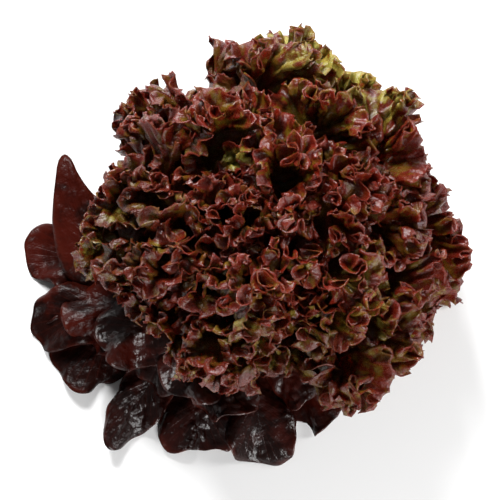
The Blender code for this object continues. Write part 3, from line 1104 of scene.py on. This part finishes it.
@dataclass(frozen=True)
class SmoothLeaves:
    """The smooth dark leaves: blistered, folded and lobed."""

    columns: int = 128
    thickness: float = 0.8 * MM
    lobed: float = 0.14
    lobe_swell: float = 0.55
    lobe_ahead: float = 0.3
    wide_along: Stretch = (0.3, 0.6)
    open_along: Stretch = (0.2, 0.7)
    grown_rows: Stretch = (0, 0.4)
    uneven_turns: int = 4
    calm_rows: Stretch = (0.1, 0.4)
    calm_along: Stretch = (0.2, 0.5)
    waves: Ruffle = Ruffle(
        62 * MM, 7 * MM, 34 * MM, growth=1.0, roll=0.4, uneven=0.5, warp=0.5, steady_columns=16
    )
    growth: Growth = Growth(along=1.15, outward=1.0, depth=36 * MM, profile=2.0, rounds=30)
    smoothing: int = 2
    side_below_deg: float = 210
    lip: Lip = Lip(depth=9 * MM, turn_deg=10, vary_deg=75, length=60 * MM, steady_columns=8)
    blisters: Blisters = Blisters(6.5 * MM, 1.7 * MM)
    blistered: float = 4 * MM
    puffed_rows: Stretch = (0, 0.12)
    veins: float = 20
    tone_spread: float = 0.2

    def sheet(self, leaf: SmoothLeaf) -> Sheet:
        """One leaf's upper face.

        Args:
            leaf: The leaf's sizes.

        Returns:
            The bent sheet.
        """
        tier = SMOOTH_TIERS[leaf.tier]
        slanted = float(np.linalg.norm(SIDE_LEAN)) / SIDE_HEIGHT
        foot = (SIDE_FOOT + (SIDE_TOP - SIDE_FOOT) * (tier.root_z - SMOOTH_RIB) / SIDE_HEIGHT) * slanted
        root, tip = (foot + LEAF_GAP, tier.root_z), (leaf.reach, leaf.tip_z)
        meridian = Meridian(root, tip, tier.start_deg, tier.end_deg)
        forward = heading_vector(leaf.heading_deg)
        sideways = heading_vector(leaf.heading_deg + 90)
        centre = SIDE_CENTRE + SIDE_LEAN * (1, 1, 0) * (tier.root_z / SIDE_HEIGHT)
        draw = random.Random(SEED + SMOOTH_LEAVES.index(leaf))
        phase = draw.uniform(0, 2 * math.pi)

        def half_width(share: np.ndarray) -> np.ndarray:
            """Half the leaf's width.

            Args:
                share: Shares of its length.

            Returns:
                The half width at each.
            """
            opened = (leaf.half_width - SMOOTH_STALK) * smoothstep(SMOOTH_OPENS, SMOOTH_WIDEST, share)
            cap = np.clip((share - SMOOTH_WIDEST) / (1 - SMOOTH_WIDEST), 0, 1)
            return (SMOOTH_STALK + opened) * (1 - cap**leaf.roundness) ** (1 / leaf.roundness)

        blade = Blade(meridian.length, half_width, SMOOTH_WAVE_FROM, SMOOTH_HALF_WAVES, SMOOTH_VEIN_SLANT)
        weave = Weave(self.columns, SMOOTH_ROWS)
        side, row = np.meshgrid(weave.side, weave.row)
        across, along, inset = blade.at(side, row)
        lobes = 1 + self.lobed * leaf.ruffled * Waver(draw, self.lobe_swell).at(side) * row**2
        across = across * lobes * (1 + (leaf.wider - 1) * smoothstep(*self.wide_along, along))
        out, up, slope = meridian.at(along)
        out = out * (1 + (lobes - 1) * along**2 * self.lobe_ahead)
        wave = np.cos(blade.turn(side)) * blade.fade(side)
        grown = np.clip(1 - inset / SMOOTH_WAVE_DEPTH, 0, 1) * smoothstep(*self.grown_rows, row)
        uneven = SMOOTH_UNEVEN * (np.sin(self.uneven_turns * side + phase) - 1)
        open_share = smoothstep(*self.open_along, along)
        bow = leaf.camber * open_share * (across / leaf.half_width) ** 2
        swerve = np.arctan(leaf.bend * leaf.bend_growth * along ** (leaf.bend_growth - 1) / leaf.reach)
        aside = across * np.cos(swerve) + leaf.bend * along**leaf.bend_growth

        def lifted(lift: np.ndarray) -> np.ndarray:
            """The leaf's points, raised from the plain blade.

            Args:
                lift: How far each is raised.

            Returns:
                The points.
            """
            ahead = out - lift * np.sin(slope) - across * np.sin(swerve)
            points = centre + forward * ahead[..., None] + sideways * aside[..., None]
            points[..., 2] += up + lift * np.cos(slope)
            return points

        sheet = Sheet(weave, lifted(SMOOTH_WAVE * grown * wave * (1 + uneven) - bow))
        calm = leaf.ruffled * smoothstep(*self.calm_along, along) * smoothstep(*self.calm_rows, row)
        edge = Edge(inset, calm, draw)
        self.waves.bend(sheet, edge)
        self.growth.relax(sheet, lifted(-bow), edge)
        sheet.points = smoothed(sheet.points, self.smoothing)
        self.lip.bend(sheet, edge)
        puff = self.blisters.height_at(along * blade.length, across, draw)
        puff = puff * open_share * smoothstep(0, self.blistered, inset) * smoothstep(*self.puffed_rows, row)
        _, _, upward = sheet.frames()
        sheet.points = settle(sheet.points + upward * puff[..., None], self.thickness)
        tone = draw.uniform(-self.tone_spread, self.tone_spread)
        sheet.facts = {
            "inset": inset / MM,
            "fan": side * self.veins,
            "tone": painted(sheet.points, WARM_PATCHES) + tone,
        }
        return sheet

    def build(self, dress: "Wardrobe") -> list[bpy.types.Object]:
        """Makes every smooth leaf.

        Args:
            dress: The finishes.

        Returns:
            The leaves.
        """
        made = []
        for tier in SMOOTH_TIERS:
            leaves = [leaf for leaf in SMOOTH_LEAVES if leaf.tier == tier]
            for number, leaf in enumerate(leaves, 1):
                node = f"smooth_{tier}_leaf_{number}"
                finishes = dress.side if leaf.heading_deg < self.side_below_deg else dress.smooth
                made.append(leaf_piece(node, self.sheet(leaf), self.thickness, finishes))
        return made


Colour = tuple[float, float, float, float]
Socket = bpy.types.NodeSocket
Span = tuple[float, float, float, float]
Grain = tuple[float, float]


class Nodes:
    """A node tree being put together, node by node."""

    def __init__(self, tree: bpy.types.NodeTree) -> None:
        """Takes the tree."""
        self.tree = tree

    def node(self, kind: str, **settings: object) -> bpy.types.Node:
        """A new node.

        Args:
            kind: The node's Blender type.
            settings: Its properties by name, and under "inputs" its sockets' values by name or number.

        Returns:
            The node.
        """
        made = self.tree.nodes.new(kind)
        inputs = settings.pop("inputs", {})
        for key, value in settings.items():
            setattr(made, key, value)
        for key, value in inputs.items():
            self.give(made.inputs[key], value)
        return made

    def give(self, socket: Socket, value: object) -> None:
        """Sets a socket's value, or links it.

        Args:
            socket: The socket.
            value: Its value, or the output that feeds it.
        """
        if isinstance(value, Socket):
            self.tree.links.new(value, socket)
        else:
            socket.default_value = value

    def fact(self, name: str) -> Socket:
        """What the mesh knows under a name, at each point."""
        return self.node("ShaderNodeAttribute", attribute_name=name).outputs["Fac"]

    def span(self, value: object, low: object, high: object, to_low: object, to_high: object) -> Socket:
        """The value brought from one span to another, eased and held at its ends.

        Args:
            value: The value.
            low: Where the first span starts.
            high: Where it ends.
            to_low: What its start becomes.
            to_high: What its end becomes.

        Returns:
            The new value.
        """
        inputs = {"Value": value, "From Min": low, "From Max": high, "To Min": to_low, "To Max": to_high}
        made = self.node("ShaderNodeMapRange", interpolation_type="SMOOTHSTEP", inputs=inputs)
        return made.outputs["Result"]

    def mix(self, share: object, first: object, second: object) -> Socket:
        """Two colours mixed by a share."""
        return self.node("ShaderNodeMix", data_type="RGBA", inputs={0: share, 6: first, 7: second}).outputs[2]

    def math(self, operation: str, first: object, second: object) -> Socket:
        """One sum."""
        return self.node("ShaderNodeMath", operation=operation, inputs={0: first, 1: second}).outputs[0]


class Group(Nodes):
    """An effect that more than one finish uses, with named inputs and one output."""

    def __init__(self, name: str, output: str, **inputs: float) -> None:
        """Starts the group.

        Args:
            name: The group's name.
            output: Its output's name.
            inputs: Its inputs' names and usual values.
        """
        super().__init__(bpy.data.node_groups.new(name, "ShaderNodeTree"))
        self.output = output
        for key, value in inputs.items():
            socket = self.tree.interface.new_socket(key, in_out="INPUT", socket_type="NodeSocketFloat")
            socket.default_value = value
        self.tree.interface.new_socket(output, in_out="OUTPUT", socket_type="NodeSocketFloat")
        self.given = self.tree.nodes.new("NodeGroupInput").outputs

    def close(self, value: Socket) -> "Group":
        """Feeds the output, and gives the group back."""
        self.node("NodeGroupOutput", inputs={self.output: value})
        return self


@dataclass(frozen=True)
class Effects:
    """The shared effects, each built once."""

    noise_span: Stretch = (0.32, 0.68)
    vein_step: float = 0.5
    vein_at_edge: float = 0.3

    def mottle(self) -> Group:
        """Uneven patches over the object's own space.

        Returns:
            The group.
        """
        group = Group("mottle", "Amount", Scale=60, Detail=3, Low=0.0, High=1.0)
        place = group.node("ShaderNodeTexCoord").outputs["Object"]
        inputs = {"Vector": place, "Scale": group.given["Scale"], "Detail": group.given["Detail"]}
        noise = group.node("ShaderNodeTexNoise", inputs=inputs).outputs["Fac"]
        return group.close(group.span(noise, *self.noise_span, group.given["Low"], group.given["High"]))

    def rim(self) -> Group:
        """A band along a leaf's edge, that shows here and there.

        Returns:
            The group.
        """
        group = Group("rim", "Amount", Inset=0, Width=1, Strength=1, Patches=1)
        band = group.span(group.given["Inset"], 0, group.given["Width"], group.given["Strength"], 0)
        return group.close(group.math("MULTIPLY", band, group.given["Patches"]))

    def veins(self) -> Group:
        """Veins that fan out through a leaf, fainter towards its edge.

        Returns:
            The group.
        """
        group = Group("veins", "Amount", Fan=0, Inset=0, Width=0.2, Reach=20)
        saw = group.math("PINGPONG", group.given["Fan"], self.vein_step)
        line = group.span(saw, 0, group.given["Width"], 1, 0)
        fade = group.span(group.given["Inset"], 0, group.given["Reach"], self.vein_at_edge, 1)
        return group.close(group.math("MULTIPLY", line, fade))


class Paint(Nodes):
    """A material being put together."""

    def __init__(self, name: str, groups: dict[str, Group]) -> None:
        """Starts a material with a Principled shader.

        Args:
            name: The material's name.
            groups: The shared effects by name.
        """
        self.groups = groups
        self.material = bpy.data.materials.new(name)
        self.material.use_nodes = True
        super().__init__(self.material.node_tree)
        self.shader = self.tree.nodes["Principled BSDF"]

    def effect(self, name: str, **inputs: object) -> Socket:
        """Places a shared effect with its own values."""
        group = self.groups[name]
        return self.node("ShaderNodeGroup", node_tree=group.tree, inputs=inputs).outputs[group.output]

    def mottled(self, scale: float, detail: float) -> Socket:
        """Uneven patches of one size."""
        return self.effect("mottle", Scale=scale, Detail=detail)

    def dented(self, grain: Socket, veins: Socket, dent: float, strength: float, distance: float) -> None:
        """Bumps the shader's normal with a grain and the veins that lie in it."""
        height = self.math("ADD", grain, self.math("MULTIPLY", veins, -dent))
        self.bump(height, strength, distance)

    def bump(self, height: Socket, strength: float, distance: float) -> None:
        """Bumps the shader's normal."""
        inputs = {"Height": height, "Strength": strength, "Distance": distance}
        self.feed(Normal=self.node("ShaderNodeBump", inputs=inputs).outputs["Normal"])

    def feed(self, **sockets: object) -> None:
        """Sets or links the shader's inputs, with an underscore for each space of their names."""
        for key, value in sockets.items():
            self.give(self.shader.inputs[key.replace("_", " ")], value)


@dataclass(frozen=True)
class FrilledFinish:
    """The frilled leaves' colours: a red frill that turns olive towards the base, by millimetres inwards,
    with painted highlight flecks, a lighter rim that is partly painted glow, and painted shade deeper in.
    """

    name: str
    # Painted highlight: a lighter colour mixed in by flecks, standing in for sheen.
    painted_sheen: Colour
    rim: Colour
    frill: Colour
    deep: Colour
    young: Colour
    leaf: Colour
    fresh: Colour
    roughness: float
    gloss: float = 0.46
    # Painted shade: the near-black colour that the leaf's inner part and the shade patches turn to, standing
    # in for shadow.
    painted_shade: Colour = (0.014, 0.009, 0.002, 1)
    greener: float = 0.0
    patch_grain: Grain = (130, 4)
    fleck_grain: Grain = (380, 5)
    crinkle_grain: Grain = (1000, 3)
    deepens: Span = (0, 9, 0, 1)
    sheen_flecks: Span = (0.4, 1, 0, 0.6)
    ages: Span = (0, 16, 0, 1)
    patchy: float = 0.6
    greens: Span = (1.5, 11, -0.2, 0.5)
    turns: Span = (0.05, 0.85, 0, 1)
    freshens: Span = (0, 7, -0.2, 0.1)
    freshened: Span = (0.7, 1.5, 0, 1)
    toned: Span = (0, 1, 0, 0.45)
    # Painted shade: from 14 to 30 mm in from the margin, the leaf darkens towards the shade colour.
    shade_inwards: Span = (14, 30, 0, 0.2)
    rim_width: float = 1.2
    rim_strength: float = 0.35
    veined: float = 0.3
    rougher: Stretch = (-0.07, 0.12)
    glow: float = 0.12
    glow_reach: float = 2 * MM
    crinkled: float = 0.5
    dented: float = 0.7
    bumped: float = 0.5
    bump_height: float = 0.5 * MM

    def paint(self, groups: dict[str, Group]) -> bpy.types.Material:
        """The material.

        Args:
            groups: The shared effects by name.

        Returns:
            The material.
        """
        paint = Paint(self.name, groups)
        inset = paint.fact("inset")
        patches = paint.mottled(*self.patch_grain)
        flecks = paint.mottled(*self.fleck_grain)
        crinkles = paint.mottled(*self.crinkle_grain)
        red = paint.mix(paint.span(inset, *self.deepens), self.frill, self.deep)
        # Painted highlight flecks over the red.
        red = paint.mix(paint.span(flecks, *self.sheen_flecks), red, self.painted_sheen)
        olive = paint.mix(paint.span(inset, *self.ages), self.young, self.leaf)
        patchy = paint.span(patches, 0, 1, self.greener - self.patchy, self.greener + self.patchy)
        green = paint.math("ADD", paint.fact("green"), patchy)
        share = paint.span(paint.math("ADD", green, paint.span(inset, *self.greens)), *self.turns)
        fresh = paint.math("ADD", green, paint.span(inset, *self.freshens))
        olive = paint.mix(paint.span(fresh, *self.freshened), olive, self.fresh)
        body = paint.mix(share, red, olive)
        # A lighter red-orange band along the edge: partly the leaf's own edge colour, partly a painted rim
        # glow.
        rim = {"Inset": inset, "Width": self.rim_width, "Strength": self.rim_strength}
        edge = paint.effect("rim", Patches=patches, **rim)
        veins = paint.effect("veins", Fan=paint.fact("fan"), Inset=inset)
        body = paint.mix(paint.math("MULTIPLY", veins, self.veined), body, self.young)
        colour = paint.mix(edge, body, self.rim)
        colour = paint.mix(paint.span(paint.fact("tone"), *self.toned), colour, self.deep)
        # Painted shade: darker deeper inside the leaf, and in the shade patches.
        shade_share = paint.math("ADD", paint.fact("shade_share"), paint.span(inset, *self.shade_inwards))
        colour = paint.mix(shade_share, colour, self.painted_shade)
        low, high = self.rougher
        rough = paint.span(crinkles, 0, 1, self.roughness + low, self.roughness + high)
        paint.feed(Base_Color=colour, Roughness=rough, Specular_IOR_Level=self.gloss)
        paint.feed(Subsurface_Weight=self.glow, Subsurface_Scale=self.glow_reach)
        grain = paint.math("ADD", paint.math("MULTIPLY", crinkles, self.crinkled), flecks)
        paint.dented(grain, veins, self.dented, self.bumped, self.bump_height)
        return paint.material


@dataclass(frozen=True)
class SmoothFinish:
    """The smooth leaves' near-black burgundy, with a waxy sheen."""

    name: str
    body: Colour
    warm: Colour
    rim: Colour
    roughness: float
    gloss: float
    patch_grain: Grain = (60, 3)
    fleck_grain: Grain = (190, 2)
    crinkle_grain: Grain = (800, 3)
    patchy: float = 0.3
    warms: Span = (0, 0.8, 0, 1)
    vein_width: float = 0.12
    veined: float = 0.3
    rim_width: float = 4.5
    rim_strength: float = 0.9
    crinkled: float = 0.15
    dented: float = 0.4
    bumped: float = 0.4
    bump_height: float = 0.8 * MM

    def paint(self, groups: dict[str, Group]) -> bpy.types.Material:
        """The material.

        Args:
            groups: The shared effects by name.

        Returns:
            The material.
        """
        paint = Paint(self.name, groups)
        inset = paint.fact("inset")
        patches = paint.mottled(*self.patch_grain)
        flecks = paint.mottled(*self.fleck_grain)
        crinkles = paint.mottled(*self.crinkle_grain)
        patchy = paint.span(patches, 0, 1, -self.patchy, self.patchy)
        share = paint.math("ADD", paint.fact("tone"), patchy)
        body = paint.mix(paint.span(share, *self.warms), self.body, self.warm)
        veins = paint.effect("veins", Fan=paint.fact("fan"), Inset=inset, Width=self.vein_width)
        body = paint.mix(paint.math("MULTIPLY", veins, self.veined), body, self.rim)
        # Rim band: brown along the edge, except on the smooth leaves' edge faces, where the pale rim colour
        # is a painted highlight.
        rim = {"Inset": inset, "Width": self.rim_width, "Strength": self.rim_strength}
        edge = paint.effect("rim", Patches=patches, **rim)
        colour = paint.mix(edge, body, self.rim)
        paint.feed(Base_Color=colour, Roughness=self.roughness, Specular_IOR_Level=self.gloss)
        grain = paint.math("ADD", flecks, paint.math("MULTIPLY", crinkles, self.crinkled))
        paint.dented(grain, veins, self.dented, self.bumped, self.bump_height)
        return paint.material


@dataclass(frozen=True)
class StemFinish:
    """The cut stem's cream flesh, browned at the cut."""

    body: Colour = (0.60, 0.53, 0.36, 1)
    browned: Colour = (0.30, 0.16, 0.07, 1)
    roughness: float = 0.6
    patch_grain: Grain = (120, 3)
    patchy: Stretch = (-0.4, 0.7)
    cut: Span = (0, 1.5 * MM, 0.5, 0)
    fine_grain: Grain = (300, 3)
    bumped: float = 0.3
    bump_height: float = 0.5 * MM

    def paint(self, groups: dict[str, Group]) -> bpy.types.Material:
        """The material.

        Args:
            groups: The shared effects by name.

        Returns:
            The material.
        """
        paint = Paint("stem_flesh", groups)
        scale, detail = self.patch_grain
        low, high = self.patchy
        patches = paint.effect("mottle", Scale=scale, Detail=detail, Low=low, High=high)
        place = paint.node("ShaderNodeTexCoord").outputs["Object"]
        height = paint.node("ShaderNodeSeparateXYZ", inputs={0: place}).outputs["Z"]
        share = paint.math("ADD", patches, paint.span(height, *self.cut))
        paint.feed(Base_Color=paint.mix(share, self.body, self.browned), Roughness=self.roughness)
        paint.bump(paint.mottled(*self.fine_grain), self.bumped, self.bump_height)
        return paint.material


class Wardrobe:
    """Every finish, made once."""

    def __init__(self) -> None:
        """Makes the materials."""
        shared = Effects()
        effects = {"mottle": shared.mottle(), "rim": shared.rim(), "veins": shared.veins()}
        upper = FrilledFinish(
            "frill_upper",
            painted_sheen=(0.170, 0.026, 0.010, 1),
            rim=(0.18, 0.034, 0.014, 1),
            frill=(0.118, 0.0065, 0.002, 1),
            deep=(0.072, 0.005, 0.002, 1),
            young=(0.15, 0.080, 0.006, 1),
            leaf=(0.068, 0.034, 0.002, 1),
            fresh=(0.29, 0.25, 0.045, 1),
            roughness=0.22,
        ).paint(effects)
        under = FrilledFinish(
            "frill_under",
            painted_sheen=(0.175, 0.030, 0.013, 1),
            rim=(0.18, 0.034, 0.014, 1),
            frill=(0.120, 0.008, 0.003, 1),
            deep=(0.080, 0.007, 0.003, 1),
            young=(0.16, 0.095, 0.009, 1),
            leaf=(0.078, 0.043, 0.004, 1),
            fresh=(0.36, 0.32, 0.08, 1),
            roughness=0.30,
            greener=0.1,
        ).paint(effects)
        edge = FrilledFinish(
            "frill_edge",
            painted_sheen=(0.130, 0.020, 0.009, 1),
            rim=(0.120, 0.016, 0.007, 1),
            frill=(0.090, 0.008, 0.003, 1),
            deep=(0.072, 0.008, 0.003, 1),
            young=(0.12, 0.080, 0.010, 1),
            leaf=(0.068, 0.042, 0.005, 1),
            fresh=(0.36, 0.32, 0.08, 1),
            roughness=0.55,
            gloss=0.12,
        ).paint(effects)
        self.frilled = (upper, under, edge)
        body, warm, rim = (0.007, 0.0008, 0.0003, 1), (0.034, 0.0028, 0.0010, 1), (0.045, 0.006, 0.003, 1)
        # Painted highlight: a pale rim on the smooth leaves' edges stands in for silver glints along their
        # folds.
        pale = (0.16, 0.09, 0.08, 1)
        self.smooth = (
            SmoothFinish("smooth_upper", body, warm, rim, roughness=0.28, gloss=0.32).paint(effects),
            SmoothFinish("smooth_under", body, warm, rim, roughness=0.5, gloss=0.22).paint(effects),
            SmoothFinish("smooth_edge", body, warm, pale, roughness=0.45, gloss=0.22).paint(effects),
        )
        self.side = (
            SmoothFinish("side_upper", body, warm, rim, roughness=0.36, gloss=0.12).paint(effects),
            SmoothFinish("side_under", body, warm, rim, roughness=0.5, gloss=0.12).paint(effects),
            SmoothFinish("side_edge", body, warm, rim, roughness=0.5, gloss=0.12).paint(effects),
        )
        self.stem = StemFinish().paint(effects)


@dataclass(frozen=True)
class CutStem:
    """The butt, as its solid is, with its own finish."""

    node: str = "cut_stem"

    def dress(self, wardrobe: Wardrobe) -> bpy.types.Object:
        """Gives the solid its finish.

        Args:
            wardrobe: The finishes.

        Returns:
            The solid.
        """
        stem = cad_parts[self.node]
        stem.data.materials.clear()
        stem.data.materials.append(wardrobe.stem)
        return stem


@dataclass(frozen=True)
class Lamp:
    """A square soft lamp."""

    name: str
    place: tuple[float, float, float]
    size: float
    power: float


@dataclass(frozen=True)
class Studio:
    """A pale floor, soft light from above and a camera at the photo's angle."""

    elevation_deg: float = 80
    distance: float = 1.8
    frame_width: float = 335 * MM
    sensor: float = 36.0
    target: tuple[float, float, float] = (0, 0, 60 * MM)
    drop: float = 10.4 * MM
    ambient: float = 0.13
    floor_half: float = 3.0
    floor_colour: Colour = (0.86, 0.86, 0.86, 1)
    floor_roughness: float = 0.8
    lamps: tuple[Lamp, ...] = (
        Lamp("key", (-0.4, 1.25, 1.15), 0.65, 59),
        Lamp("front", (0.3, -1.3, 0.8), 0.7, 24),
        Lamp("side", (1.4, 0.1, 0.7), 0.6, 14),
    )

    def build(self) -> None:
        """Sets up the floor, the lights and the camera."""
        scene = bpy.context.scene
        scene.view_settings.view_transform = "Standard"
        self.floor()
        world = bpy.data.worlds.new("studio")
        world.use_nodes = True
        sky = world.node_tree.nodes["Background"]
        sky.inputs["Color"].default_value = (1, 1, 1, 1)
        sky.inputs["Strength"].default_value = self.ambient
        scene.world = world
        for lamp in self.lamps:
            self.light(lamp)
        self.camera(scene)

    def floor(self) -> None:
        """A plain pale floor."""
        mesh = bpy.data.meshes.new("floor")
        signs = ((-1, -1), (1, -1), (1, 1), (-1, 1))
        corners = [(across * self.floor_half, along * self.floor_half, 0) for across, along in signs]
        mesh.from_pydata(corners, [], [(0, 1, 2, 3)])
        floor = bpy.data.objects.new("floor", mesh)
        bpy.context.scene.collection.objects.link(floor)
        paint = Paint("floor", {})
        paint.feed(Base_Color=self.floor_colour, Roughness=self.floor_roughness)
        mesh.materials.append(paint.material)

    def light(self, lamp: Lamp) -> None:
        """Hangs a lamp that faces the lettuce.

        Args:
            lamp: The lamp.
        """
        data = bpy.data.lights.new(lamp.name, "AREA")
        data.size = lamp.size
        data.energy = lamp.power
        hung = bpy.data.objects.new(lamp.name, data)
        hung.location = lamp.place
        hung.rotation_euler = (Vector(self.target) - Vector(lamp.place)).to_track_quat("-Z", "Y").to_euler()
        bpy.context.scene.collection.objects.link(hung)

    def camera(self, scene: bpy.types.Scene) -> None:
        """The camera, nearly straight above.

        Args:
            scene: Where it is put.
        """
        data = bpy.data.cameras.new("camera")
        data.sensor_width = self.sensor
        data.lens = self.sensor * self.distance / self.frame_width
        camera = bpy.data.objects.new("camera", data)
        tilt = math.radians(self.elevation_deg)
        back = Vector((0, -math.cos(tilt), math.sin(tilt)))
        upward = Vector((0, math.sin(tilt), math.cos(tilt)))
        aim = Vector(self.target) - self.drop * upward
        camera.location = aim + back * self.distance
        camera.rotation_euler = (-back).to_track_quat("-Z", "Y").to_euler()
        scene.collection.objects.link(camera)
        scene.camera = camera


def main() -> None:
    """Builds and dresses the lettuce, and notes its size."""
    logging.basicConfig(level=logging.INFO, format="%(message)s")
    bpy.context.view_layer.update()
    wardrobe = Wardrobe()
    Studio().build()
    leaves = FrilledLeaves().build(wardrobe) + SmoothLeaves().build(wardrobe)
    for piece in (*leaves, CutStem().dress(wardrobe)):
        LOG.info("%s: %d points", piece.name, len(piece.data.vertices))


if __name__ == "__main__":
    main()
